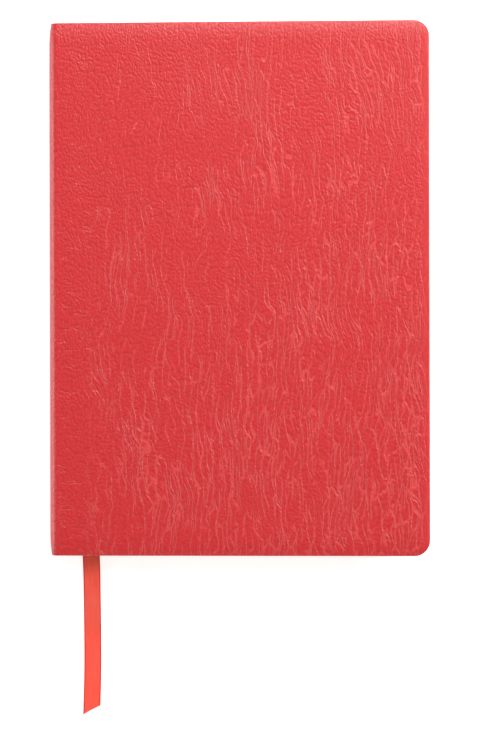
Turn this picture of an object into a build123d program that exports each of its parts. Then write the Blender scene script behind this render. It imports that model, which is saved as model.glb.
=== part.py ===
from build123d import *
import math
import os

# A leather-bound notebook with soft covers, closed and lying on its back cover. Millimetres.
# X runs from the spine to the fore edge, Y from the foot to the head, Z up.
# The origin is the middle of the back cover's outer face.
# The front half is the back half mirrored about the middle of the thickness, where the
# ribbon lies and the notebook opens. Covers and halves turn about the outside of the spine.

# Driving dimensions
cover_width = 127.0
cover_height = 178.0
corner_radius = 5.3  # fore-edge corners of the covers
shoulder_radius = 3.2  # outside of the rounded edge between a cover and the spine
leather_thickness = 0.8
edge_rounding = 0.5
turn_in_width = 12.0  # leather folded over the card and glued down inside
turn_in_thickness = 0.35  # pared thinner there
card_thickness = 0.7
endpaper_thickness = 0.15
flyleaf_thickness = 0.14
section_count = 12
section_thickness = 0.92  # eight leaves
page_margin = 2.3  # the covers stand proud of the pages by this much
page_corner_radius = 4.5
pastedown_margin = 3.0
spine_lining_thickness = 0.2
mull_thickness = 0.15
thread_diameter = 0.28
stitch_length = 9.0
stitch_places = (-56.0, -28.0, 0.0, 28.0, 56.0)
band_diameter = 1.5
band_skirt_thickness = 0.25
band_skirt_length = 5.0
ribbon_width = 5.8
ribbon_thickness = 0.25
ribbon_head_place = (-58.7, 84.0)  # where the ribbon is glued into the fold at the head
ribbon_foot_x = -50.4
tail_reach_spine_side = 54.9  # the end is cut aslant, longer on the spine side
tail_reach_fore_side = 51.4
fit_gap = 0.02  # between glued pieces
turn_gap = 0.04  # between pieces that part when the notebook opens

# Places worked out from them
spine_x = -cover_width / 2
fore_x = cover_width / 2
head_y = cover_height / 2
panel_x = spine_x + shoulder_radius
card_base = leather_thickness + fit_gap
card_top = card_base + card_thickness
pastedown_base = card_top + fit_gap
cover_thickness = pastedown_base + endpaper_thickness
flyleaf_base = cover_thickness + turn_gap
block_base = flyleaf_base + flyleaf_thickness + fit_gap
section_pitch = section_thickness + fit_gap
half_count = section_count // 2
half_block_top = block_base + half_count * section_pitch - fit_gap
ribbon_base = half_block_top + fit_gap
middle_z = (half_block_top + ribbon_base + ribbon_thickness + fit_gap) / 2
lining_x = spine_x + leather_thickness + fit_gap
mull_x = lining_x + spine_lining_thickness + fit_gap
thread_x = mull_x + mull_thickness + fit_gap
fold_x = thread_x + thread_diameter + fit_gap
page_fore_x = fore_x - page_margin
page_half_height = head_y - page_margin
half_top = middle_z - fit_gap / 2

# The ribbon's free tail: distance out from the foot of the cover and height of its middle
tail_start = 0.08
tail_route = (
    (tail_start, ribbon_base + ribbon_thickness / 2),
    (5.0, 7.5),
    (12.0, 5.8),
    (20.0, 2.8),
    (28.5, 0.25),
    (41.0, 0.5),
    (tail_reach_spine_side, 0.16),
)
arc_share = 0.45  # how much of the shorter run each bend takes


def block(x_low, x_high, y_low, y_high, z_low, z_high):
    size = (x_high - x_low, y_high - y_low, z_high - z_low)
    middle = ((x_low + x_high) / 2, (y_low + y_high) / 2, (z_low + z_high) / 2)
    return Pos(*middle) * Box(*size)


def round_fore_corners(solid, radius):
    corners = solid.edges().filter_by(Axis.Z).sort_by(Axis.X)[-2:]
    return fillet(corners, radius)


def cover_plate(x_low, inset, z_low, z_high):
    """A cover-shaped plate, smaller than the cover by the inset on its three open sides."""
    y_edge = head_y - inset
    plate = block(x_low, fore_x - inset, -y_edge, y_edge, z_low, z_high)
    if corner_radius - inset < 1.0:
        return plate
    return round_fore_corners(plate, corner_radius - inset)


def make_cover_leather():
    skin = cover_plate(panel_x, 0, 0, card_top)
    low_edges = skin.edges().group_by(Axis.Z)[0].sort_by(Axis.X)[1:]
    skin = fillet(low_edges, edge_rounding)
    pocket_top = card_top - turn_in_thickness
    pocket = cover_plate(panel_x - 1, leather_thickness, leather_thickness, pocket_top)
    window = cover_plate(panel_x - 1, turn_in_width, leather_thickness, card_top + 1)
    return skin - pocket - window


def make_card_stiffener():
    lip_base = card_top - turn_in_thickness - fit_gap
    wide = cover_plate(panel_x + fit_gap, leather_thickness + fit_gap, card_base, lip_base)
    raised = cover_plate(panel_x + fit_gap, turn_in_width + fit_gap, lip_base, card_top)
    return wide + raised


def make_pastedown():
    return cover_plate(panel_x + fit_gap, pastedown_margin, pastedown_base, cover_thickness)


def make_flyleaf():
    # Starts clear of the shoulder, so that it can turn with the cover.
    x_low = panel_x + 0.2
    leaf = block(
        x_low, page_fore_x, -page_half_height, page_half_height, flyleaf_base, block_base - fit_gap
    )
    return round_fore_corners(leaf, page_corner_radius)


def make_spine_leather():
    centre = Pos(panel_x, shoulder_radius)
    ring = Circle(shoulder_radius) - Circle(shoulder_radius - leather_thickness)
    quarter_side = shoulder_radius - turn_gap
    quarter = Rectangle(quarter_side, shoulder_radius, align=(Align.MAX, Align.MAX))
    shoulder = centre * (ring & (Pos(-turn_gap, 0) * quarter))
    wall_height = half_top - shoulder_radius
    wall = Rectangle(leather_thickness, wall_height, align=(Align.MIN, Align.MIN))
    profile = shoulder + Pos(spine_x, shoulder_radius) * wall
    skin = extrude(Plane.XZ * profile, amount=head_y, both=True)
    lip_x = spine_x + leather_thickness
    for side in (-1, 1):
        y_ends = sorted((side * (head_y - turn_in_width), side * head_y))
        skin += block(lip_x, lip_x + turn_in_thickness, *y_ends, shoulder_radius, half_top)
    return skin


def make_spine_lining():
    y_edge = head_y - turn_in_width - 2
    x_high = lining_x + spine_lining_thickness
    return block(lining_x, x_high, -y_edge, y_edge, shoulder_radius, half_top)


def shoulder_inside(x):
    """Height of the shoulder's inner face above the back cover's outer face, at this x."""
    inner_radius = shoulder_radius - leather_thickness
    return shoulder_radius - math.sqrt(inner_radius**2 - (panel_x - x) ** 2)


def make_mull():
    y_edge = head_y - turn_in_width - 5
    z_low = shoulder_inside(mull_x) + fit_gap
    return block(mull_x, mull_x + mull_thickness, -y_edge, y_edge, z_low, half_top)


def make_sewing_thread():
    """The stitches that show on the outside of the folds, one at each place on each section."""
    stitches = []
    x = thread_x + thread_diameter / 2
    for index in range(half_count):
        z = block_base + index * section_pitch + section_thickness / 2
        for y in stitch_places:
            place = Pos(x, y, z) * Rot(90, 0, 0)
            stitches.append(place * Cylinder(thread_diameter / 2, stitch_length))
    return Compound(children=stitches)


def make_band(side):
    """A woven band at the head (side 1) or tail (side -1): a round bead and a glued skirt."""
    bead_radius = band_diameter / 2
    y = side * (page_half_height + bead_radius + fit_gap)
    x = thread_x + band_skirt_thickness + bead_radius - 0.1
    height = half_top - block_base
    bead = Pos(x, y, block_base + height / 2) * Cylinder(bead_radius, height)
    y_ends = sorted((side * (page_half_height - band_skirt_length), y))
    skirt = block(thread_x, thread_x + band_skirt_thickness, *y_ends, block_base, half_top)
    return bead + skirt


def make_section(index):
    """Eight leaves folded together: a slab with a round fold at the spine."""
    radius = section_thickness / 2
    z = block_base + index * section_pitch + radius
    x_low = fold_x + radius
    slab = Rectangle(page_fore_x - x_low, section_thickness, align=(Align.MIN, Align.CENTER))
    profile = Pos(x_low, z) * (Circle(radius) + slab)
    solid = extrude(Plane.XZ * profile, amount=page_half_height, both=True)
    return round_fore_corners(solid, page_corner_radius)


def make_ribbon_marker():
    half = ribbon_width / 2
    head_x, head_end = ribbon_head_place
    foot_end = -head_y + fit_gap
    corners = (
        (head_x - half, head_end),
        (head_x + half, head_end),
        (ribbon_foot_x + half, foot_end),
        (ribbon_foot_x - half, foot_end),
    )
    outline = make_face(Polyline(*corners, close=True))
    return extrude(Pos(0, 0, ribbon_base) * outline, amount=ribbon_thickness)


def bend_radii(points):
    radii = []
    for before, corner, after in zip(points, points[1:], points[2:]):
        run_in = corner - before
        run_out = after - corner
        half_turn = math.radians(run_in.get_angle(run_out)) / 2
        shorter = min(run_in.length, run_out.length)
        radii.append(arc_share * shorter / math.tan(half_turn))
    return radii


def make_ribbon_tail():
    points = [Vector(ribbon_foot_x, -head_y - out, height) for out, height in tail_route]
    radii = bend_radii(points)
    print("ribbon tail bend radii", [round(radius, 1) for radius in radii])
    path = FilletPolyline(*points, radius=radii)
    strip_face = Plane(path @ 0, x_dir=(1, 0, 0), z_dir=path % 0)
    strip = sweep(strip_face * Rectangle(ribbon_width, ribbon_thickness), path=path)
    print("ribbon tail length", round(path.length, 1))
    half = ribbon_width / 2
    far_end = -head_y - tail_reach_spine_side
    cut = Polyline(
        (ribbon_foot_x - half, far_end),
        (ribbon_foot_x + half, -head_y - tail_reach_fore_side),
        (ribbon_foot_x + half, far_end - 1),
        (ribbon_foot_x - half, far_end - 1),
        close=True,
    )
    wedge = Pos(0, 0, -1) * extrude(make_face(cut), amount=5)
    return strip - wedge


def mirrored(solid):
    return mirror(solid, about=Plane.XY.offset(middle_z))


def write_node(name, solid):
    solid.label = name
    export_step(solid, f"parts/{name}.step")


def write_both_halves(name, solid):
    write_node(f"{name}_back", solid)
    write_node(f"{name}_front", mirrored(solid))


os.makedirs("parts", exist_ok=True)

write_both_halves("cover_leather", make_cover_leather())
write_both_halves("card_stiffener", make_card_stiffener())
write_both_halves("pastedown", make_pastedown())
write_both_halves("flyleaf", make_flyleaf())
write_both_halves("spine_leather", make_spine_leather())
write_both_halves("spine_lining", make_spine_lining())
write_both_halves("mull", make_mull())
write_both_halves("sewing_thread", make_sewing_thread())
write_both_halves("head_band", make_band(1))
write_both_halves("tail_band", make_band(-1))

for index in range(half_count):
    section = make_section(index)
    write_node(f"section_{index + 1:02d}", section)
    write_node(f"section_{section_count - index:02d}", mirrored(section))

write_node("ribbon_marker", make_ribbon_marker())
write_node("ribbon_tail", make_ribbon_tail())

print("middle opening height", round(middle_z, 4), "total thickness", round(2 * middle_z, 4))
print("folds at x", round(fold_x, 3), "panels start at x", round(panel_x, 3))
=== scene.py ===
import math

import bmesh
import bpy
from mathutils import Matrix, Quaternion, Vector, noise


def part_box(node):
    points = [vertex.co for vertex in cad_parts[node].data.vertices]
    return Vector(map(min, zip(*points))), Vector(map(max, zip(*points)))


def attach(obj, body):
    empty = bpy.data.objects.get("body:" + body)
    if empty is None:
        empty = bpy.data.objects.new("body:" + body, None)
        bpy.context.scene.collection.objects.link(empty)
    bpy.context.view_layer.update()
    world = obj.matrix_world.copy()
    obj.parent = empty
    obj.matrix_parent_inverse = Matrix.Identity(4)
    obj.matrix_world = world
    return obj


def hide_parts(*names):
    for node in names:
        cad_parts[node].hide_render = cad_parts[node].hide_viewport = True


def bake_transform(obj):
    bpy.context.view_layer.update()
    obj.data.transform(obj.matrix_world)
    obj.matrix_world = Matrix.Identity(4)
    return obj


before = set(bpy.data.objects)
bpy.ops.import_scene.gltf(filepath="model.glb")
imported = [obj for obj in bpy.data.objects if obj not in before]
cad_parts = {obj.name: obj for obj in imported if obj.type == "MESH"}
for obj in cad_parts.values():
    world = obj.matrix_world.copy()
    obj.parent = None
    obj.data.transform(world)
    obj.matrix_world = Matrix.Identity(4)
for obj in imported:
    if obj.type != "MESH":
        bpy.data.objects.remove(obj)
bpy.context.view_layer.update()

mm = 0.001

# places read from the frame
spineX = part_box("spine_leather_back")[0].x
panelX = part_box("cover_leather_back")[0].x
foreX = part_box("cover_leather_back")[1].x
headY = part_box("cover_leather_back")[1].y
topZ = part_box("cover_leather_front")[1].z
midZ = topZ / 2
shoulder = panelX - spineX  # radius of the rounded edge between cover and spine
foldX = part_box("section_06")[0].x
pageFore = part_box("section_06")[1].x
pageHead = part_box("section_06")[1].y
wallLength = topZ - shoulder - midZ  # lengths round the skin, from the middle of the spine
arcLength = math.pi * shoulder / 2
panelStart = wallLength + arcLength
foreS = panelStart + foreX - panelX
print("frame read: cover", round((foreX - spineX) / mm, 1), "x", round(2 * headY / mm, 1), "mm")


def linear(code):
    parts = [int(code[i:i + 2], 16) / 255 for i in (1, 3, 5)]
    return [p / 12.92 if p <= 0.04045 else ((p + 0.055) / 1.055) ** 2.4 for p in parts] + [1.0]


def addNode(tree, kind, values=None, links=None, **settings):
    node = tree.nodes.new(kind)
    for name, value in settings.items():
        setattr(node, name, value)
    for socket, value in (values or {}).items():
        node.inputs[socket].default_value = value
    for socket, source in (links or {}).items():
        tree.links.new(source, node.inputs[socket])
    return node


def newMaterial(name):
    material = bpy.data.materials.new(name)
    material.use_nodes = True
    return material, material.node_tree, material.node_tree.nodes["Principled BSDF"]


def roughen(tree, shader, height, strength, depth):
    # a fine relief of the given depth in the surface
    bump = addNode(tree, "ShaderNodeBump", {"Strength": strength, "Distance": depth}, {"Height": height})
    tree.links.new(bump.outputs[0], shader.inputs["Normal"])


def twoTones(tree, first, second, factor):
    mixed = addNode(tree, "ShaderNodeMix", {"A": linear(first), "B": linear(second)}, {"Factor": factor},
                    data_type="RGBA")
    return mixed.outputs["Result"]


def shadeByAngle(mesh, degrees):
    for face in mesh.faces:
        face.smooth = True
    for edge in mesh.edges:
        if len(edge.link_faces) == 2 and edge.calc_face_angle(0) > math.radians(degrees):
            edge.smooth = False


def meshFrom(draft, name):
    data = bpy.data.meshes.new(name)
    draft.to_mesh(data)
    draft.free()
    return data


def newObject(name, mesh, material=None):
    thing = bpy.data.objects.new(name, mesh)
    bpy.context.scene.collection.objects.link(thing)
    if material:
        thing.data.materials.append(material)
    return thing


# camera and light

shot = {
    "distance": 1000 * mm,
    "viewHeight": 244.8 * mm,  # what the frame's long side takes in at the front cover
    "aim": (0.46 * mm, -26.4 * mm),
    "lean": 3.4,  # degrees from straight above, towards the fore edge
    "roll": -0.12,  # degrees
    "sensor": 36.0,
    "clip": (0.01, 20),
}


def makeCamera():
    data = bpy.data.cameras.new("camera")
    data.sensor_width = shot["sensor"]
    data.lens = shot["sensor"] * shot["distance"] / shot["viewHeight"]
    camera = bpy.data.objects.new("camera", data)
    bpy.context.scene.collection.objects.link(camera)
    lean = math.radians(shot["lean"])
    back = Vector((math.sin(lean), 0, math.cos(lean)))
    camera.location = Vector((*shot["aim"], topZ)) + back * shot["distance"]
    turn = Quaternion((0, 1, 0), lean) @ Quaternion((0, 0, 1), math.radians(shot["roll"]))
    camera.rotation_mode = "QUATERNION"
    camera.rotation_quaternion = turn
    data.clip_start, data.clip_end = shot["clip"]
    bpy.context.scene.camera = camera


studio = {
    "sky": 0.34,
    "floorTone": "#F7F7F6",
    "floorGlow": 0.55,  # the table is a lit white sweep
    "floorSide": 8.0,
    "floorDrop": 0.05 * mm,
    "lights": (  # name, place and side in metres, watts
        ("ceiling", (0.1, 1.0, 1.25), 1.3, 5.6),
        ("north", (0.16, 0.5, 0.5), 0.36, 4.2),
        ("right", (0.95, 0.3, 0.6), 0.32, 7.0),
        ("left", (-1.0, 0.0, 0.24), 0.5, 4.2),
        ("low", (0.0, -1.0, 0.5), 0.3, 2.1),
    ),
}


def makeStudio():
    world = bpy.data.worlds.new("whiteRoom")
    bpy.context.scene.world = world
    world.use_nodes = True
    world.node_tree.nodes["Background"].inputs["Color"].default_value = (1, 1, 1, 1)
    world.node_tree.nodes["Background"].inputs["Strength"].default_value = studio["sky"]
    for name, place, side, watts in studio["lights"]:
        lamp = bpy.data.lights.new(name, "AREA")
        lamp.shape = "SQUARE"
        lamp.size = side
        lamp.energy = watts
        thing = bpy.data.objects.new(name, lamp)
        bpy.context.scene.collection.objects.link(thing)
        thing.location = place
        thing.rotation_mode = "QUATERNION"
        thing.rotation_quaternion = (-Vector(place)).to_track_quat("-Z", "Y")
    half = studio["floorSide"] / 2
    corners = [(-half, -half, 0), (half, -half, 0), (half, half, 0), (-half, half, 0)]
    mesh = bpy.data.meshes.new("floor")
    mesh.from_pydata(corners, [], [(0, 1, 2, 3)])
    material, tree, shader = newMaterial("mattPaintedFloor")
    shader.inputs["Base Color"].default_value = linear(studio["floorTone"])
    shader.inputs["Roughness"].default_value = 0.9
    shader.inputs["Specular IOR Level"].default_value = 0.1
    shader.inputs["Emission Color"].default_value = (1, 1, 1, 1)
    shader.inputs["Emission Strength"].default_value = studio["floorGlow"]
    floor = newObject("floor", mesh, material)
    floor.location.z = -studio["floorDrop"]
    scene = bpy.context.scene
    scene.view_settings.view_transform = "Standard"
    scene.view_settings.look = "None"


makeCamera()
makeStudio()
print("camera and studio made")


# materials

grain = {  # lengths in mm
    "body": "#BE1B1F",  # drum-dyed red
    "hollow": "#A81419",  # painted shade: darker in the hollows between the pebbles
    "crease": "#E8645C",  # painted highlight: the light caught along the creases
    "paling": 0.27,
    "flow": (34, 52, 12.0),  # how the skin wanders: across, along, how far it is pushed
    "ripple": (3.2, 6.0, 1.0),
    "jostle": (1.5, 1.8, 0.7),
    "pebble": (0.85, 1.2),  # across and along the skin
    "pebbleHeight": 0.13,
    "speck": (0.55, 0.8),
    "speckHeight": 0.1,
    "patch": (17, 30),  # the slacker patches of skin
    "slackening": (0.0011, -0.0009),  # per mm from the spine, and per mm towards the head
    "lineWidth": 0.32,  # from the bottom of a crease to its shoulder
    "creaseDepth": (0.06, 0.13),  # where the skin is tight and where it is loose
    "lines": ((3.4, 3.0, 90.0, 0.88), (2.1, 4.4, 130.0, 0.9)),  # gap, sway, seed, slackness that shows them
    "net": (2.3, 8.0),
    "netFrom": (12.0, 24.0),  # from the middle of the spine
    "spineNet": (5.0, 1.5),
    "spineNetEnd": (20.0, 34.0),
    "rim": (1.0, 3.5),  # from the edge, where the grain is pressed flatter
    "roughness": (0.36, 0.5),
}


def leatherMaterial():
    # vegetable-tanned calf, drum dyed and lightly plated: a low sheen over small pebbles,
    # with fine creases that run with the backbone and catch the light as paler lines;
    # the paler lines are a painted highlight, and the hollows between the pebbles are painted shade
    material, tree, shader = newMaterial("drumDyedGrainedCalf")
    lay = addNode(tree, "ShaderNodeUVMap", uv_map="lay").outputs[0]

    def vector(operation, first, second):
        links = {0: first} if isinstance(second, tuple) else {0: first, 1: second}
        values = {1: second} if isinstance(second, tuple) else {}
        return addNode(tree, "ShaderNodeVectorMath", values, links, operation=operation).outputs[0]

    def number(operation, first, second=0.5, third=None):
        values, links = {}, {}
        for slot, item in enumerate((first, second, third)):
            if item is not None:
                (values if isinstance(item, (int, float)) else links)[slot] = item
        return addNode(tree, "ShaderNodeMath", values, links, operation=operation).outputs[0]

    def cloud(place, across, along, detail=2.0, output="Fac", shift=0.0):
        stretched = vector("MULTIPLY_ADD", place, (1 / across, 1 / along, 0))
        stretched.node.inputs[2].default_value = (shift, shift * 0.7, 0)
        noiseNode = addNode(tree, "ShaderNodeTexNoise", {"Scale": 1.0, "Detail": detail},
                            {"Vector": stretched}, noise_dimensions="2D")
        return noiseNode.outputs[output]

    def between(value, low, high, start=0.0, finish=1.0):
        ends = {"From Min": low, "From Max": high, "To Min": start, "To Max": finish}
        ramp = addNode(tree, "ShaderNodeMapRange", ends, {"Value": value}, interpolation_type="SMOOTHSTEP")
        return ramp.outputs[0]

    def pushed(place, across, along, amount, detail, shift=0.0):
        wander = cloud(skin, across, along, detail, "Color", shift)
        centred = vector("SUBTRACT", wander, (0.5, 0.5, 0.5))
        return vector("ADD", place, vector("MULTIPLY", centred, (amount, amount, 0)))

    def network(place, across, along):
        stretched = vector("MULTIPLY", place, (1 / across, 1 / along, 0))
        cells = addNode(tree, "ShaderNodeTexVoronoi", {"Scale": 1.0}, {"Vector": stretched},
                        voronoi_dimensions="2D", feature="DISTANCE_TO_EDGE")
        return number("MULTIPLY", cells.outputs["Distance"], min(across, along))

    skin = vector("MULTIPLY", lay, (1 / mm, 1 / mm, 0))  # now in millimetres
    split = addNode(tree, "ShaderNodeSeparateXYZ", {}, {0: skin}).outputs
    around = number("ABSOLUTE", split["X"])
    flow = pushed(skin, *grain["flow"], 3.0)
    ripple = pushed(flow, *grain["ripple"], 2.0, 9.0)

    # pebbles
    across, along = grain["pebble"]
    pebblePlace = vector("MULTIPLY", pushed(flow, *grain["jostle"], 1.0, 5.0), (1 / across, 1 / along, 0))
    pebbleCells = addNode(tree, "ShaderNodeTexVoronoi", {"Scale": 1.0, "Smoothness": 0.35},
                          {"Vector": pebblePlace}, voronoi_dimensions="2D", feature="SMOOTH_F1")
    pebbles = pebbleCells.outputs["Distance"]
    specks = cloud(skin, *grain["speck"], 3.0, "Fac", 21.0)

    # creases: distance to a line in mm, how far it shows there
    def lineNear(distance, middle=0.05):
        return between(distance, middle, grain["lineWidth"], 1.0, 0.0)

    patches = cloud(skin, *grain["patch"], 3.0, "Fac", 3.0)
    outward, headward = grain["slackening"]
    lean = number("MULTIPLY_ADD", around, outward, number("MULTIPLY", split["Y"], headward))
    density = number("ADD", number("MULTIPLY_ADD", patches, 0.45, 0.28), lean)
    netSlack = number("ADD", density, cloud(skin, 3.2, 8.0, 2.0, "Fac", 50.0))
    netShown = number("MULTIPLY", lineNear(network(ripple, *grain["net"]), 0.08), between(netSlack, 1.0, 1.3))
    ripplePlace = addNode(tree, "ShaderNodeSeparateXYZ", {}, {0: ripple}).outputs
    runShown = None
    for gap, sway, seed, low in grain["lines"]:
        swayed = number("MULTIPLY", cloud(skin, 12, 30, 2.0, "Fac", seed), sway)
        run = number("MULTIPLY_ADD", ripplePlace["X"], 1 / gap, swayed)
        runGap = number("MULTIPLY", number("PINGPONG", run, 0.5), gap)
        broken = number("ADD", density, cloud(skin, 3.6, 15.0, 2.0, "Fac", seed + 30))
        shown = number("MULTIPLY", lineNear(runGap), between(broken, low, low + 0.3))
        runShown = number("MAXIMUM", runShown, shown) if runShown else shown
    lengthwise = number("MULTIPLY", number("MAXIMUM", netShown, runShown), between(around, *grain["netFrom"]))
    nearSpine = between(around, *grain["spineNetEnd"], 1.0, 0.0)
    crossSlack = number("MULTIPLY", nearSpine, between(cloud(skin, 7.0, 3.0, 2.0, "Fac", 70.0), 0.5, 0.68))
    crosswise = number("MULTIPLY", lineNear(network(ripple, *grain["spineNet"])), crossSlack)
    creases = number("MAXIMUM", lengthwise, number("MULTIPLY", crosswise, 0.7))
    rim = between(number("SUBTRACT", foreS / mm, around), *grain["rim"], 0.35, 1.0)

    # colour: the dye, with painted shade in the pebble hollows and a painted highlight along the creases
    speckled = number("MULTIPLY", between(specks, 0.3, 0.7), rim)
    # painted shade: the hollows between the pebbles are darkened in the colour, in speckled patches, less
    # near the fore edge
    paintedShadeMask = number("MULTIPLY", between(pebbles, 0.3, 0.8), speckled)
    dyeWithPaintedShade = twoTones(tree, grain["body"], grain["hollow"], paintedShadeMask)
    # painted highlight: the creases are painted paler where they catch the light, less near the fore edge
    paintedHighlightMask = number("MULTIPLY", number("MULTIPLY", number("POWER", creases, 2.5), grain["paling"]), rim)
    coloured = addNode(tree, "ShaderNodeMix", {"B": linear(grain["crease"])}, {"Factor": paintedHighlightMask, "A": dyeWithPaintedShade},
                       data_type="RGBA")
    tree.links.new(coloured.outputs["Result"], shader.inputs["Base Color"])

    # relief in mm
    domes = number("MULTIPLY", pebbles, -grain["pebbleHeight"])
    relief = number("MULTIPLY_ADD", specks, grain["speckHeight"], domes)
    tight, loose = grain["creaseDepth"]
    looseness = between(number("ADD", patches, number("MULTIPLY", lean, 1.6)), 0.42, 0.78, -tight, -loose)
    height = number("MULTIPLY_ADD", creases, looseness, relief)
    roughen(tree, shader, number("MULTIPLY", height, rim), 1.0, 1 * mm)
    tree.links.new(between(specks, 0.2, 0.8, *grain["roughness"]), shader.inputs["Roughness"])
    shader.inputs["IOR"].default_value = 1.5
    shader.inputs["Coat Weight"].default_value = 0.35
    shader.inputs["Coat Roughness"].default_value = 0.26
    return material


paper = {
    "page": "#D2CBBC",
    "edge": "#C0B59E",
    "rule": "#A9B4C2",
    "ruleGap": 7.0,  # mm
    "ruleWidth": 0.22,  # mm, a hair coarser than print so that it shows
    "topMargin": 14.0,
    "endpaper": "#D0C7B4",
    "clouding": "#C8BEA8",
}


def paperMaterial(name, onSheet, fibreDepth, roughness):
    # a sheet has its own lay, a stack of leaves has only its place in the book
    material, tree, shader = newMaterial(name)
    if onSheet:
        place = addNode(tree, "ShaderNodeUVMap", uv_map="lay").outputs[0]
    else:
        place = addNode(tree, "ShaderNodeTexCoord").outputs["Object"]
    fibre = addNode(tree, "ShaderNodeTexNoise", {"Scale": 900.0, "Detail": 3.0}, {"Vector": place})
    roughen(tree, shader, fibre.outputs["Fac"], fibreDepth, 0.02 * mm)
    shader.inputs["Roughness"].default_value = roughness
    shader.inputs["Specular IOR Level"].default_value = 0.25
    return material, tree, shader, place


def pageMaterial():
    # uncoated wove paper, trimmed by guillotine: matt, each leaf a touch lighter or darker
    material, tree, shader, place = paperMaterial("uncoatedWovePaper", False, 0.3, 0.82)
    tone = addNode(tree, "ShaderNodeAttribute", attribute_name="leafTone")
    mixed = twoTones(tree, paper["page"], paper["edge"], tone.outputs["Fac"])
    tree.links.new(mixed, shader.inputs["Base Color"])
    return material


def ruledMaterial():
    # the same wove paper with feint rules printed across it in grey-blue
    material, tree, shader, lay = paperMaterial("feintRuledWovePaper", True, 0.3, 0.82)
    split = addNode(tree, "ShaderNodeSeparateXYZ", {}, {0: lay})
    firstRule = pageHead / mm - paper["topMargin"]
    down = addNode(tree, "ShaderNodeMath", {1: -1 / mm, 2: firstRule}, {0: split.outputs["Y"]},
                   operation="MULTIPLY_ADD").outputs[0]
    wrapped = addNode(tree, "ShaderNodeMath", {1: paper["ruleGap"] / 2}, {0: down}, operation="PINGPONG")
    width = paper["ruleWidth"]
    ends = {"From Min": width / 2, "From Max": width * 0.9, "To Min": 1.0, "To Max": 0.0}
    line = addNode(tree, "ShaderNodeMapRange", ends, {"Value": wrapped.outputs[0]})
    below = addNode(tree, "ShaderNodeMath", {1: -1.0}, {0: down}, operation="GREATER_THAN")
    printed = addNode(tree, "ShaderNodeMath", {}, {0: line.outputs[0], 1: below.outputs[0]},
                      operation="MULTIPLY")
    mixed = twoTones(tree, paper["page"], paper["rule"], printed.outputs[0])
    tree.links.new(mixed, shader.inputs["Base Color"])
    return material


def endpaperMaterial():
    # heavier wove endpaper, made with longer fibres: a warmer ivory with faint clouding
    material, tree, shader, lay = paperMaterial("cloudedWoveEndpaper", True, 0.45, 0.8)
    cloud = addNode(tree, "ShaderNodeTexNoise", {"Scale": 120.0, "Detail": 5.0}, {"Vector": lay})
    mixed = twoTones(tree, paper["endpaper"], paper["clouding"], cloud.outputs["Fac"])
    tree.links.new(mixed, shader.inputs["Base Color"])
    return material


satin = {
    "warp": "#FA5E4E",
    "shade": "#EC3A30",
    "selvedge": "#D92A2A",
    "threads": 0.16,  # mm between warp threads, coarser than the real 0.08 so that they show
    "halfWidth": 2.9,
    "selvedgeWidth": 0.45,
    "streak": (2600.0, 160.0),  # per metre across and along: the floats' uneven sheen
    "tint": (1, 0.85, 0.55, 1),  # dyed threads tint their own sheen
}


def satinMaterial():
    # polyester satin woven warp-faced: long floats along the ribbon give a streaky sheen,
    # and the tighter selvedges look darker
    material, tree, shader = newMaterial("wovenSatinRibbon")
    lay = addNode(tree, "ShaderNodeUVMap", uv_map="lay")
    split = addNode(tree, "ShaderNodeSeparateXYZ", {}, {0: lay.outputs[0]})

    def scaled(across, along):
        return addNode(tree, "ShaderNodeVectorMath", {1: (across, along, 0)}, {0: lay.outputs[0]},
                       operation="MULTIPLY").outputs[0]

    perMetre = 0.31 / (satin["threads"] * mm)  # a band of the wave pattern is 0.31 wide
    warp = addNode(tree, "ShaderNodeTexWave",
                   {"Scale": 1.0, "Distortion": 0.6, "Detail": 2.0, "Detail Scale": 1.5},
                   {"Vector": scaled(perMetre, 90.0)}, wave_type="BANDS", bands_direction="X")
    streak = addNode(tree, "ShaderNodeTexNoise", {"Scale": 1.0, "Detail": 4.0},
                     {"Vector": scaled(*satin["streak"])}, noise_dimensions="2D")
    mixed = twoTones(tree, satin["warp"], satin["shade"], streak.outputs["Fac"])
    away = addNode(tree, "ShaderNodeMath", {}, {0: split.outputs["X"]}, operation="ABSOLUTE")
    edge = (satin["halfWidth"] - satin["selvedgeWidth"]) * mm
    border = addNode(tree, "ShaderNodeMapRange", {"From Min": edge - 0.1 * mm, "From Max": edge + 0.1 * mm},
                     {"Value": away.outputs[0]}, interpolation_type="SMOOTHSTEP")
    bordered = addNode(tree, "ShaderNodeMix", {"B": linear(satin["selvedge"])},
                       {"Factor": border.outputs[0], "A": mixed}, data_type="RGBA")
    tree.links.new(bordered.outputs["Result"], shader.inputs["Base Color"])
    roughen(tree, shader, warp.outputs["Fac"], 0.5, 0.03 * mm)
    shader.inputs["Roughness"].default_value = 0.32
    shader.inputs["IOR"].default_value = 1.75
    shader.inputs["Specular Tint"].default_value = satin["tint"]
    return material


def plainCloth(name, colour, scale, roughness=0.85):
    # small hidden cloth and paper pieces: one tone with a fine woven or fibrous break-up
    material, tree, shader = newMaterial(name)
    place = addNode(tree, "ShaderNodeTexCoord")
    fleck = addNode(tree, "ShaderNodeTexNoise", {"Scale": scale, "Detail": 4.0},
                    {"Vector": place.outputs["Object"]})
    darker = [c * 0.72 for c in linear(colour)[:3]] + [1.0]
    mixed = addNode(tree, "ShaderNodeMix", {"A": linear(colour), "B": darker},
                    {"Factor": fleck.outputs["Fac"]}, data_type="RGBA")
    tree.links.new(mixed.outputs["Result"], shader.inputs["Base Color"])
    roughen(tree, shader, fleck.outputs["Fac"], 0.5, 0.04 * mm)
    shader.inputs["Roughness"].default_value = roughness
    return material


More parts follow.
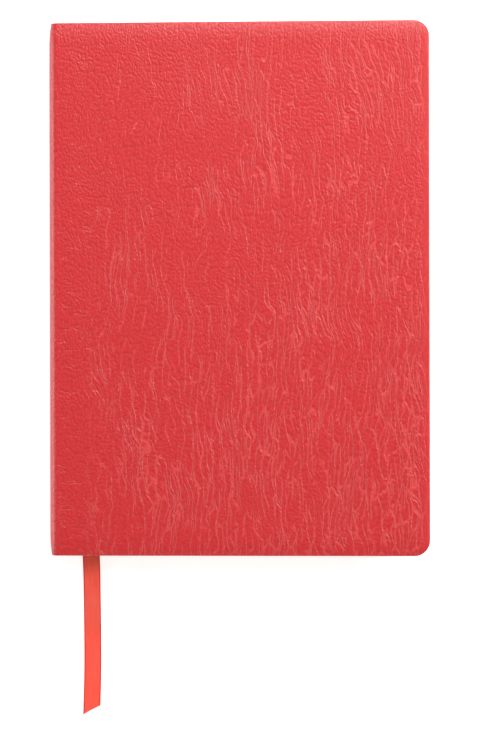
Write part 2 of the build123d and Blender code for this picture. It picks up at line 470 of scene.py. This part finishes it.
calf = leatherMaterial()
wove = pageMaterial()
ruled = ruledMaterial()
endleaf = endpaperMaterial()
ribbonSatin = satinMaterial()
greyCard = plainCloth("pressedGreyCard", "#8F8270", 700.0)
kraft = plainCloth("calenderedKraftPaper", "#A68A62", 900.0)
gauze = plainCloth("starchedCottonMull", "#DDD8CC", 2600.0)
linen = plainCloth("waxedLinenThread", "#E4DCC8", 3000.0, 0.6)
bandRed = plainCloth("mercerisedRedCotton", "#B4242A", 4000.0, 0.55)
bandCream = plainCloth("mercerisedCreamCotton", "#EDE3CC", 4000.0, 0.55)
print("materials made")


# leather

leather = {
    "skin": 0.8 * mm,
    "cornerRadius": 5.3 * mm,
    "turnIn": 12 * mm,
    "lip": 0.35 * mm,  # pared
    "coverLip": 1.53 * mm,  # depth of the turned-in leather's face below the outer face
    "spineLip": 1.19 * mm,
    "rollReach": 0.62 * mm,  # how far in from the edge the roll starts
    "rollSteps": 10,
    "fall": 0.62 * mm,  # the face drops this much towards its edges
    "fallWidth": 8.0 * mm,
    "groove": 0.1 * mm,  # the joint pressed in beside the spine
    "grooveWidth": 0.55 * mm,
    "seam": 3.4 * mm,  # from the middle of the spine to where cover and spine pieces meet
    "stiffFrom": (0.3 * mm, 1.53 * mm),  # from the panel's start and outer face
    "stillFrom": (-2.1 * mm, 4.2 * mm),  # the same two measures, on the spine's side
    "wave": 0.07 * mm,
    "waveLength": 26 * mm,
    "step": 1.7 * mm,
    "arcStep": 0.33 * mm,
    "cornerSteps": 12,
    "faceInsets": (12, 9, 7, 5.5, 4.4, 3.5, 2.7, 2.0, 1.5, 1.05),  # mm in from the edge, towards the roll
    "lipInsets": (1.2, 2.5, 5, 8, 11.4),
    "backOfSpine": 1.6 * mm,  # half the width of leather that bends at the middle of the spine
}


def onSkin(s, y, depth):
    # s runs from the middle of the spine, up over the shoulder and across the front cover;
    # below zero it runs the same way round the back cover
    side = -1 if s < 0 else 1
    s = abs(s)
    if s < wallLength:
        x = spineX + depth
        z = midZ + s
    elif s < panelStart:
        turn = (s - wallLength) / shoulder
        reach = shoulder - depth
        x = spineX + shoulder - reach * math.cos(turn)
        z = topZ - shoulder + reach * math.sin(turn)
    else:
        x = panelX + s - panelStart
        z = topZ - depth
    return Vector((x, y, z if side > 0 else 2 * midZ - z))


def smooth(value):
    value = max(0.0, min(1.0, value))
    return value * value * (3 - 2 * value)


def lipDepth(s):
    share = smooth((abs(s) - wallLength) / arcLength)
    return leather["spineLip"] + share * (leather["coverLip"] - leather["spineLip"])


def faceFall(inset):
    return leather["fall"] * max(0.0, 1 - inset / leather["fallWidth"]) ** 2.5


def edgePath(depth):
    # (inset, depth) from the flat face, round the edge, along the turn-in and back under the skin
    reach = leather["rollReach"]
    path = [(inset * mm, faceFall(inset * mm)) for inset in leather["faceInsets"]]
    high = faceFall(reach)
    middle = (high + depth) / 2
    tall = (depth - high) / 2
    for i in range(leather["rollSteps"] + 1):
        angle = math.pi * (0.5 - i / leather["rollSteps"])
        path.append((reach * (1 - math.cos(angle)), middle - tall * math.sin(angle)))
    path += [(inset * mm, depth) for inset in leather["lipInsets"]]
    turnIn = leather["turnIn"]
    under = depth - leather["lip"]
    inner = leather["skin"] + 0.06 * mm
    path += [(turnIn - 0.15 * mm, depth - 0.08 * mm), (turnIn, under + 0.1 * mm), (turnIn - 0.05 * mm, under)]
    path += [(6 * mm, under), (inner, under)]
    path += [(inset, leather["skin"]) for inset in (inner, 3 * mm, 7 * mm, turnIn)]
    return path


def spaced(start, end, step):
    count = max(1, round(abs(end - start) / step))
    return [start + (end - start) * i / count for i in range(count + 1)]


def jointGroove(s):
    off = (abs(s) - panelStart - 0.1 * mm) / leather["grooveWidth"]
    return leather["groove"] * math.exp(-off * off)


def skinWave(s, y):
    margin = min(foreS - abs(s), headY - abs(y), abs(s) - panelStart)
    share = smooth(margin / (14 * mm))
    place = Vector((s, y, 3.0 * mm)) / leather["waveLength"]
    return leather["wave"] * share * (0.5 + 0.5 * noise.noise(place))


def leatherPiece(name, sList, hasFore, back):
    turnIn, radius = leather["turnIn"], leather["cornerRadius"]
    yList = spaced(headY - turnIn, turnIn - headY, leather["step"])
    innerEnd = sList[-1]

    def along(s, inset):  # the cover's long samples stretch a little towards the outer edge
        if not hasFore or s <= panelStart:
            return s
        end = foreS - max(inset, radius)
        return panelStart + (s - panelStart) * (end - panelStart) / (innerEnd - panelStart)

    def edgePlace(sample, inset):
        kind, value = sample
        if kind == "head":
            return along(value, inset), headY - inset
        if kind == "foot":
            return along(value, inset), inset - headY
        if kind == "fore":
            return foreS - inset, value * (headY - max(inset, radius)) / (headY - turnIn)
        centre = (foreS - radius, headY - radius)
        if inset >= radius:
            s, y = foreS - inset, headY - inset
        else:
            s = centre[0] + (radius - inset) * math.cos(value)
            y = centre[1] + (radius - inset) * abs(math.sin(value))
        return s, y if value > 0 else -y

    head = [("head", s) for s in sList]
    foot = [("foot", s) for s in reversed(sList)]
    if hasFore:
        steps = leather["cornerSteps"]
        angles = [math.pi / 2 * (1 - i / steps) for i in range(1, steps)]
        fore = [("fore", y) for y in yList]
        headCorner = [("corner", a) for a in angles]
        footCorner = [("corner", -a) for a in reversed(angles)]
        runs = [head + headCorner + fore + footCorner + foot]
    else:
        runs = [head, foot]

    mesh = bmesh.new()
    places = []  # unrolled place of each vertex, for the grain
    faceCount = len(leather["faceInsets"])
    flip = -1 if back else 1

    def addPoint(s, y, depth, lay):
        if depth < leather["skin"] / 2:
            depth += skinWave(s, y) + jointGroove(s)
        places.append((flip * lay[0], lay[1]))
        return mesh.verts.new(onSkin(flip * s, y, depth))

    for run in runs:
        columns = []
        for sample in run:
            s0 = sample[1] if sample[0] in ("head", "foot") else foreS
            path = edgePath(lipDepth(s0))
            rim = Vector(edgePlace(sample, 0))
            inward = Vector(edgePlace(sample, 1 * mm)) - rim
            inward.normalize()
            column = []
            travelled = 0
            for i, (inset, depth) in enumerate(path):
                s, y = edgePlace(sample, inset)
                if i >= faceCount:
                    before = path[i - 1]
                    travelled += math.hypot(inset - before[0], depth - before[1])
                    lay = rim + inward * (leather["faceInsets"][-1] * mm - travelled)
                else:
                    lay = (s, y)
                column.append(addPoint(s, y, depth, lay))
            columns.append(column)
        for one, two in zip(columns, columns[1:]):
            for i in range(len(one) - 1):
                mesh.faces.new((one[i], two[i], two[i + 1], one[i + 1]))
        mesh.faces.new(columns[0])
        if not hasFore or run is not runs[0]:
            mesh.faces.new(columns[-1])
        else:
            mesh.faces.new(list(reversed(columns[-1])))
    grids = []
    for depth in (0.0, leather["skin"]):
        rows = [[addPoint(s, y, depth, (s, y)) for s in sList] for y in yList]
        grids.append(rows)
        for one, two in zip(rows, rows[1:]):
            for i in range(len(sList) - 1):
                mesh.faces.new((one[i], one[i + 1], two[i + 1], two[i]))
    for k in (0,) if hasFore else (0, len(sList) - 1):
        for j in range(len(yList) - 1):
            mesh.faces.new((grids[0][j][k], grids[0][j + 1][k], grids[1][j + 1][k], grids[1][j][k]))

    mesh.verts.index_update()
    lay = mesh.loops.layers.uv.new("lay")
    for face in mesh.faces:
        for loop in face.loops:
            loop[lay].uv = places[loop.vert.index]
    bmesh.ops.remove_doubles(mesh, verts=mesh.verts, dist=0.002 * mm)
    bmesh.ops.recalc_face_normals(mesh, faces=mesh.faces)
    shadeByAngle(mesh, 38)
    openEdges = sum(1 for e in mesh.edges if len(e.link_faces) != 2)
    data = meshFrom(mesh, name)
    thing = newObject(name, data, calf)
    print(name, len(data.polygons), "faces, open edges", openEdges)
    return thing


def makeLeather():
    seam = leather["seam"]
    overWall = spaced(seam, wallLength, leather["arcStep"])
    overShoulder = spaced(wallLength, panelStart, leather["arcStep"])
    overPanel = spaced(panelStart, foreS - leather["turnIn"], leather["step"])
    coverSamples = overWall + overShoulder[1:] + overPanel[1:]
    front = leatherPiece("frontLeather", coverSamples, True, False)
    back = leatherPiece("backLeather", coverSamples, True, True)
    spine = leatherPiece("spineLeather", spaced(-seam, seam, leather["arcStep"]), False, False)
    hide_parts("cover_leather_front")
    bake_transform(front)
    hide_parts("cover_leather_back")
    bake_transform(back)
    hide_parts("spine_leather_back", "spine_leather_front")
    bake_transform(spine)


makeLeather()
print("leather made")


# paper

leaf = {
    "thickness": 0.104 * mm,
    "perSection": 8,
    "cornerRadius": 4.5 * mm,
    "cornerSteps": 7,
    "jog": 0.055 * mm,  # how unevenly the leaves were knocked up
    "seed": 11,
    "foldSteps": 10,
    "foldHollow": 0.12,  # share of a section's half thickness left open inside the fold
}


def repeatUpTree():
    # repeats the piece it is given up a line, each a little out of line, with its own tone
    tree = bpy.data.node_groups.new("repeatUp", "GeometryNodeTree")
    inputs = {"Piece": "Geometry", "Count": "Int", "Base height": "Float", "Pitch": "Float", "Jog": "Float",
              "Seed": "Int", "Material": "Material"}
    for name, kind in inputs.items():
        tree.interface.new_socket(name, in_out="INPUT", socket_type="NodeSocket" + kind)
    tree.interface.new_socket("Stack", in_out="OUTPUT", socket_type="NodeSocketGeometry")
    given = addNode(tree, "NodeGroupInput").outputs
    seed = {"Seed": given["Seed"]}

    base = addNode(tree, "ShaderNodeCombineXYZ", {}, {"Z": given["Base height"]}).outputs[0]
    pitch = addNode(tree, "ShaderNodeCombineXYZ", {}, {"Z": given["Pitch"]}).outputs[0]
    spacing = {"Count": given["Count"], "Start Location": base, "Offset": pitch}
    line = addNode(tree, "GeometryNodeMeshLine", {}, spacing, mode="OFFSET").outputs[0]

    most = addNode(tree, "ShaderNodeCombineXYZ", {}, {"X": given["Jog"], "Y": given["Jog"]}).outputs[0]
    least = addNode(tree, "ShaderNodeVectorMath", {1: (-1, -1, 0)}, {0: most},
                    operation="MULTIPLY").outputs[0]
    shift = addNode(tree, "FunctionNodeRandomValue", {}, {"Min": least, "Max": most, **seed},
                    data_type="FLOAT_VECTOR").outputs[0]
    moved = addNode(tree, "GeometryNodeSetPosition", {}, {"Geometry": line, "Offset": shift}).outputs[0]
    placed = addNode(tree, "GeometryNodeInstanceOnPoints", {},
                     {"Points": moved, "Instance": given["Piece"]}).outputs[0]

    tone = addNode(tree, "FunctionNodeRandomValue", {}, seed, data_type="FLOAT").outputs[1]
    toned = addNode(tree, "GeometryNodeStoreNamedAttribute", {"Name": "leafTone"},
                    {"Geometry": placed, "Value": tone}, data_type="FLOAT", domain="INSTANCE").outputs[0]
    real = addNode(tree, "GeometryNodeRealizeInstances", {}, {"Geometry": toned}).outputs[0]
    painted = addNode(tree, "GeometryNodeSetMaterial", {},
                      {"Geometry": real, "Material": given["Material"]}).outputs[0]
    addNode(tree, "NodeGroupOutput", {}, {"Stack": painted})
    return tree


repeatUp = repeatUpTree()


def repeated(name, piece, **inputs):
    thing = newObject(name, piece)
    modifier = thing.modifiers.new("repeatUp", "NODES")
    modifier.node_group = repeatUp
    for item in repeatUp.interface.items_tree:
        key = item.name.replace(" ", "")
        if item.in_out == "INPUT" and key in inputs:
            modifier[item.identifier] = inputs[key]
    bpy.context.view_layer.update()
    graph = bpy.context.evaluated_depsgraph_get()
    made = bpy.data.meshes.new_from_object(thing.evaluated_get(graph), preserve_all_data_layers=True,
                                           depsgraph=graph)
    thing.modifiers.clear()
    thing.data = made
    return thing


def pageOutline(xLow, xHigh, yHalf, radius, steps):
    points = [(xLow, -yHalf)]
    for side in (-1, 1):
        for i in range(steps + 1):
            angle = math.pi / 2 * (i / steps if side > 0 else 1 - i / steps)
            reach = (math.cos(angle), side * math.sin(angle))
            points.append((xHigh - radius + radius * reach[0], side * (yHalf - radius) + radius * reach[1]))
    points.append((xLow, yHalf))
    return points


def plate(mesh, outline, z, thickness):
    low = [mesh.verts.new((x, y, z)) for x, y in outline]
    high = [mesh.verts.new((x, y, z + thickness)) for x, y in outline]
    mesh.faces.new(list(reversed(low)))
    mesh.faces.new(high)
    for i in range(len(outline)):
        j = (i + 1) % len(outline)
        mesh.faces.new((low[i], low[j], high[j], high[i]))


def finishMesh(mesh, name):
    bmesh.ops.remove_doubles(mesh, verts=mesh.verts, dist=0.001 * mm)
    bmesh.ops.recalc_face_normals(mesh, faces=mesh.faces)
    return meshFrom(mesh, name)


def foldCrown(zLow, zHigh, yHalf):
    # the round back of a section, where its sheets are folded
    mesh = bmesh.new()
    radius = (zHigh - zLow) / 2
    centre = (foldX + radius, (zLow + zHigh) / 2)
    loops = []
    for y in (-yHalf, yHalf):
        loop = []
        for reach, order in ((radius, 1), (radius * leaf["foldHollow"], -1)):
            steps = range(leaf["foldSteps"] + 1)
            for i in steps if order > 0 else reversed(steps):
                angle = math.pi / 2 + math.pi * i / leaf["foldSteps"]
                x = centre[0] + reach * math.cos(angle)
                loop.append(mesh.verts.new((x, y, centre[1] + reach * math.sin(angle))))
        loops.append(loop)
    count = len(loops[0])
    for i in range(count):
        j = (i + 1) % count
        mesh.faces.new((loops[0][i], loops[0][j], loops[1][j], loops[1][i]))
    mesh.faces.new(loops[0])
    mesh.faces.new(list(reversed(loops[1])))
    return finishMesh(mesh, "foldCrown")


def joinInto(thing, extra):
    mesh = bmesh.new()
    mesh.from_mesh(thing.data)
    mesh.from_mesh(extra)
    mesh.to_mesh(thing.data)
    mesh.free()


def makeSections():
    count = leaf["perSection"]
    for number in range(1, 13):
        node = f"section_{number:02d}"
        low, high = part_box(node)
        pitch = (high.z - low.z) / count
        startX = foldX + (high.z - low.z) / 2
        mesh = bmesh.new()
        plate(mesh, pageOutline(startX, pageFore - leaf["jog"], pageHead - leaf["jog"], leaf["cornerRadius"],
                                leaf["cornerSteps"]), 0, leaf["thickness"])
        piece = finishMesh(mesh, "leafPlate")
        # the two leaves of the open spread are separate pieces, so the sections on each side have one fewer
        leaves, skipped = {6: (count - 1, 0), 7: (count - 1, 1)}.get(number, (count, 0))
        stack = repeated(f"leaves_{number:02d}", piece, Count=leaves,
                         Baseheight=low.z + (skipped + 0.5) * pitch - leaf["thickness"] / 2,
                         Pitch=pitch, Jog=leaf["jog"], Seed=leaf["seed"] + number, Material=wove)
        joinInto(stack, foldCrown(low.z, high.z, pageHead - leaf["jog"]))
        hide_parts(node)
        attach(stack, "back_block" if number <= 6 else "front_block")


makeSections()
print("leaves made")

sheet = {
    "spreadFold": 0.86 * mm,  # how near the turning line the spread's leaves meet
    "spreadReach": 7.5 * mm,
    "hingeStart": 1.75 * mm,  # from the spine's outer face
    "hingeEnd": 3.7 * mm,
    "pastedown": 0.13 * mm,
    "flyleaf": 0.13 * mm,
    "step": 4.0 * mm,
    "fineStep": 0.25 * mm,
    "fineReach": 9 * mm,
    "capSteps": 8,
    "pastedCorner": 2.3 * mm,
    "glueGap": 0.07 * mm,  # endpapers stand this far off the outermost section at the spine
    "pastedGap": 0.1 * mm,
}


def paperSheet(name, xLow, xHigh, yHalf, heightAt, thickness, material, radius):
    fine = spaced(xLow, xLow + sheet["fineReach"], sheet["fineStep"])
    coarse = spaced(xLow + sheet["fineReach"], xHigh, sheet["step"])
    xs = fine + coarse[1:]
    knee = fine[-1]
    ys = spaced(-(yHalf - radius), yHalf - radius, sheet["step"])
    bends = [math.pi / 2 * i / sheet["capSteps"] for i in range(1, sheet["capSteps"] + 1)]
    caps = [yHalf - radius + radius * math.sin(b) for b in bends]
    ys = [-y for y in reversed(caps)] + ys + caps
    mesh = bmesh.new()
    lay = mesh.loops.layers.uv.new("lay")
    rows = []
    for y in ys:
        over = max(0.0, abs(y) - (yHalf - radius))
        end = xHigh - radius + math.sqrt(max(0.0, radius * radius - over * over))
        row = []
        for x in xs:
            if x > knee:
                x = knee + (x - knee) * (end - knee) / (xHigh - knee)
            row.append(mesh.verts.new((x, y, heightAt(x))))
        rows.append(row)
    for one, two in zip(rows, rows[1:]):
        for i in range(len(xs) - 1):
            face = mesh.faces.new((one[i], one[i + 1], two[i + 1], two[i]))
            face.smooth = True
            for loop in face.loops:
                loop[lay].uv = (loop.vert.co.x, loop.vert.co.y)
    thing = newObject(name, meshFrom(mesh, name), material)
    body = thing.modifiers.new("thickness", "SOLIDIFY")
    body.thickness = thickness
    body.offset = 0
    return thing


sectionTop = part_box("section_06")[1].z
leafPitch = (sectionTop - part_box("section_06")[0].z) / leaf["perSection"]
spreadFlat = sectionTop - leafPitch / 2


def spreadHeight(x):
    # nearly flat when closed, with a small rise towards the fold
    share = 1 - (x - spineX - sheet["spreadFold"]) / (sheet["spreadReach"] - sheet["spreadFold"])
    return spreadFlat + (midZ - spreadFlat) * max(0.0, min(1.0, share))


def makeSpread():
    start = spineX + sheet["spreadFold"]
    for name, up in (("spreadLeafBack", False), ("spreadLeafFront", True)):
        def height(x, up=up):
            return 2 * midZ - spreadHeight(x) if up else spreadHeight(x)
        page = paperSheet(name, start, pageFore, pageHead, height, leaf["thickness"], ruled,
                          leaf["cornerRadius"])
        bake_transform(page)


def makeEndpapers():
    low = spineX + sheet["hingeStart"]
    high = spineX + sheet["hingeEnd"]
    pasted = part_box("pastedown_front")
    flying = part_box("flyleaf_front")
    pastedZ = (pasted[0].z + pasted[1].z) / 2
    flyingZ = (flying[0].z + flying[1].z) / 2
    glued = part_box("section_12")[1].z + sheet["glueGap"]

    def rising(fromZ, toZ, front):
        def height(x):
            z = fromZ + (toZ - fromZ) * smooth((x - low) / (high - low))
            return z if front else 2 * midZ - z
        return height

    def pastedown(name, front):
        height = rising(glued + sheet["pastedGap"], pastedZ, front)
        return paperSheet(name, low, pasted[1].x, pasted[1].y, height, sheet["pastedown"], endleaf,
                          sheet["pastedCorner"])

    def flyleaf(name, front):
        height = rising(glued, flyingZ, front)
        return paperSheet(name, low, pageFore, pageHead, height, sheet["flyleaf"], endleaf,
                          leaf["cornerRadius"])

    front = pastedown("frontPastedown", True)
    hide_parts("pastedown_front")
    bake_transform(front)
    fly = flyleaf("frontFlyleaf", True)
    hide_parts("flyleaf_front")
    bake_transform(fly)
    back = pastedown("backPastedown", False)
    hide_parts("pastedown_back")
    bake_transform(back)
    rear = flyleaf("backFlyleaf", False)
    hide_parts("flyleaf_back")
    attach(rear, "back_block")


makeSpread()
makeEndpapers()
print("spread leaves and endpapers made")


# head and tail bands

band = {
    "core": 0.6 * mm,  # radius of the cord inside
    "beadSize": 0.75 * mm,
    "stripe": 3,  # turns of thread in each colour
    "stripes": 3,  # of each colour on each half
    "ringSteps": 18,
    "threadSteps": 8,
    "coreSteps": 24,
    "skirt": 0.34 * mm,
}


def wrappedStripe(centre, pitch):
    # a few turns of silk, side by side round the cord
    mesh = bmesh.new()
    thread = pitch / 2
    for turn in range(band["stripe"]):
        rings = []
        for i in range(band["ringSteps"]):
            angle = 2 * math.pi * i / band["ringSteps"]
            ring = []
            for j in range(band["threadSteps"]):
                around = 2 * math.pi * j / band["threadSteps"]
                reach = band["beadSize"] - thread + thread * math.cos(around)
                x = centre[0] + reach * math.cos(angle)
                y = centre[1] + reach * math.sin(angle)
                ring.append(mesh.verts.new((x, y, turn * pitch + thread * math.sin(around))))
            rings.append(ring)
        for i in range(band["ringSteps"]):
            one, two = rings[i], rings[(i + 1) % band["ringSteps"]]
            for j in range(band["threadSteps"]):
                k = (j + 1) % band["threadSteps"]
                mesh.faces.new((one[j], two[j], two[k], one[k])).smooth = True
    return finishMesh(mesh, "wrappedStripe")


def bandCore(name, low, high, centre):
    # the cord the silk is wound on, and the cloth skirt that is glued to the spine
    mesh = bmesh.new()
    radius = band["core"]
    turns = [2 * math.pi * i / band["coreSteps"] for i in range(band["coreSteps"])]
    outline = [(centre[0] + radius * math.cos(t), centre[1] + radius * math.sin(t)) for t in turns]
    plate(mesh, outline, low.z, high.z - low.z)
    near, far = sorted((low.y if centre[1] > 0 else high.y, centre[1]))
    edge = low.x + band["skirt"]
    plate(mesh, [(low.x, near), (edge, near), (edge, far), (low.x, far)], low.z, high.z - low.z)
    return newObject(name, finishMesh(mesh, name), bandCream)


def makeBands():
    for end in ("head", "tail"):
        for half, body in (("back", "back_block"), ("front", "front_block")):
            node = f"{end}_band_{half}"
            low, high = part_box(node)
            bead = band["beadSize"]
            centre = (high.x - bead, high.y - bead if end == "head" else low.y + bead)
            turns = 2 * band["stripe"] * band["stripes"]
            pitch = (high.z - low.z) / turns
            label = f"{end}Band{half.title()}"
            core = bandCore(label + "Core", low, high, centre)
            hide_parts(node)
            pieces = [core]
            for shade, material, offset in (("Red", bandRed, 0), ("Cream", bandCream, band["stripe"])):
                stripe = wrappedStripe(centre, pitch)
                pieces.append(repeated(label + shade, stripe, Count=band["stripes"],
                                       Baseheight=low.z + (offset + 0.5) * pitch,
                                       Pitch=2 * band["stripe"] * pitch, Jog=0.0, Seed=1, Material=material))
            for piece in pieces:
                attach(piece, body)


makeBands()
print("bands made")


# ribbon

ribbon = {
    "width": 5.8 * mm,
    "thickness": 0.2 * mm,
    "selvedge": 0.28 * mm,  # thickness there
    "columns": 16,
    "footX": -50.4 * mm,
    "headPlace": (-58.7 * mm, 84.0 * mm),
    "tailReach": (54.9 * mm, 51.4 * mm),  # spine side and fore side
    "tailRows": 110,
    "rowStep": (2 * mm, 0.3 * mm),  # between the leaves, and where it bends at the foot
    "bendFrom": 5 * mm,  # inside the covers' foot
    "bendReach": 2.6 * mm,
    "cutBow": 0.85,  # the slanting cut bows a little
    "squareFor": 4 * mm,  # leaves the book square to its edge
}
ribbonZ = (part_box("ribbon_marker")[0].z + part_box("ribbon_marker")[1].z) / 2
tailRoute = (  # mm: sideways from footX, out from the covers' foot, height
    (0.15, 0.08, ribbonZ / mm),
    (0.35, 5.0, 7.5),
    (0.25, 12.0, 5.8),
    (0.05, 20.0, 2.8),
    (-0.15, 28.5, 0.25),
    (-0.1, 41.0, 0.5),
    (-0.6, 54.9, 0.16),
)


def splinePoints(route):
    curve = bpy.data.curves.new("route", "CURVE")
    curve.dimensions = "3D"
    curve.resolution_u = 24
    spline = curve.splines.new("NURBS")
    spline.points.add(len(route) - 1)
    for point, place in zip(spline.points, route):
        point.co = (*place, 1)
    spline.order_u = 3
    spline.use_endpoint_u = True
    holder = bpy.data.objects.new("route", curve)
    bpy.context.scene.collection.objects.link(holder)
    bpy.context.view_layer.update()
    mesh = bpy.data.meshes.new_from_object(holder.evaluated_get(bpy.context.evaluated_depsgraph_get()))
    points = [v.co.copy() for v in mesh.vertices]
    bpy.data.objects.remove(holder)
    return points


def ribbonMesh(name, grid):
    # grid holds (place, up, unrolled place) for each column of each row; selvedges stand a little thicker
    mesh = bmesh.new()
    lay = mesh.loops.layers.uv.new("lay")
    columns = ribbon["columns"]
    extra = ribbon["selvedge"] - ribbon["thickness"]
    tops, unders, places = [], [], {}
    for row in grid:
        rowTop, rowUnder = [], []
        for j, (place, up, flat) in enumerate(row):
            across = abs(2 * j / columns - 1)
            thick = ribbon["thickness"] + extra * smooth((across - 0.82) / 0.1)
            thick *= 1 - 0.6 * smooth((across - 0.96) / 0.04)  # rounded off at the very edge
            high = mesh.verts.new(place + up * thick / 2)
            low = mesh.verts.new(place - up * thick / 2)
            places[high] = places[low] = flat
            rowTop.append(high)
            rowUnder.append(low)
        tops.append(rowTop)
        unders.append(rowUnder)
    for i in range(len(grid) - 1):
        for j in range(columns):
            mesh.faces.new((tops[i][j], tops[i][j + 1], tops[i + 1][j + 1], tops[i + 1][j]))
            mesh.faces.new((unders[i][j], unders[i + 1][j], unders[i + 1][j + 1], unders[i][j + 1]))
        for j in (0, columns):
            mesh.faces.new((tops[i][j], tops[i + 1][j], unders[i + 1][j], unders[i][j]))
    for i in (0, len(grid) - 1):
        for j in range(columns):
            mesh.faces.new((tops[i][j], tops[i][j + 1], unders[i][j + 1], unders[i][j]))
    bmesh.ops.recalc_face_normals(mesh, faces=mesh.faces)
    for face in mesh.faces:
        for loop in face.loops:
            loop[lay].uv = places[loop.vert]
    shadeByAngle(mesh, 50)
    thing = newObject(name, meshFrom(mesh, name), ribbonSatin)
    return thing


def ribbonTail():
    route = []
    for side, out, height in tailRoute:
        route.append(Vector((ribbon["footX"] + side * mm, -headY - out * mm, height * mm)))
    points = splinePoints(route)
    lengths = [0.0]
    for one, two in zip(points, points[1:]):
        lengths.append(lengths[-1] + (two - one).length)
    total = lengths[-1]

    def at(distance):
        distance = max(0.0, min(total - 1e-7, distance))
        i = max(k for k in range(len(lengths) - 1) if lengths[k] <= distance)
        share = (distance - lengths[i]) / (lengths[i + 1] - lengths[i])
        return points[i].lerp(points[i + 1], share), (points[i + 1] - points[i]).normalized()

    shorter = ribbon["tailReach"][0] - ribbon["tailReach"][1]
    columns = ribbon["columns"]
    grid = []
    for i in range(ribbon["tailRows"] + 1):
        t = i / ribbon["tailRows"]
        row = []
        for j in range(columns + 1):
            across = 2 * j / columns - 1
            # the cut runs back from the spine side
            missing = shorter * ((across + 1) / 2) ** ribbon["cutBow"]
            distance = t * (total - missing * smooth((t - 0.6) / 0.4))
            place, direction = at(distance)
            side = Vector((-direction.y, direction.x, 0)).normalized()
            side = Vector((1, 0, 0)).lerp(side, smooth(distance / ribbon["squareFor"])).normalized()
            up = side.cross(direction)
            offset = across * ribbon["width"] / 2
            row.append((place + side * offset, up, (offset, distance)))
        grid.append(row)
    tail = ribbonMesh("ribbonTail", grid)
    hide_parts("ribbon_tail")
    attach(tail, "ribbon_tail")
    print("ribbon tail", round(total / mm, 1), "mm long")
    return points[0]


def ribbonInside(tailStart):
    headX, headEnd = ribbon["headPlace"]
    bendStart = -headY + ribbon["bendFrom"]
    upward = Vector((0, 0, 1))
    leafStep, bendStep = ribbon["rowStep"]

    def strip(name, ys):
        grid = []
        for y in ys:
            centre = headX + (ribbon["footX"] - headX) * (headEnd - y) / (headEnd + headY)
            centre += (tailStart.x - ribbon["footX"]) * smooth((bendStart - y) / (bendStart - tailStart.y))
            row = []
            for j in range(ribbon["columns"] + 1):
                across = (2 * j / ribbon["columns"] - 1) * ribbon["width"] / 2
                row.append((Vector((centre + across, y, ribbonZ)), upward, (across, headEnd - y)))
            grid.append(row)
        return ribbonMesh(name, grid)

    marker = strip("ribbonMarker", spaced(headEnd, bendStart, leafStep))
    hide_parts("ribbon_marker")
    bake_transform(marker)
    bend = strip("ribbonBend", spaced(bendStart, tailStart.y, bendStep))
    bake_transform(bend)


ribbonInside(ribbonTail())
print("ribbon made")


# carried-over pieces

def dressNodes():
    dress = {
        "card_stiffener_back": greyCard, "card_stiffener_front": greyCard,
        "spine_lining_back": kraft, "spine_lining_front": kraft,
        "mull_back": gauze, "mull_front": gauze,
        "sewing_thread_back": linen, "sewing_thread_front": linen,
    }
    for name, material in dress.items():
        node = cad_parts[name]
        node.data.materials.clear()
        node.data.materials.append(material)


dressNodes()
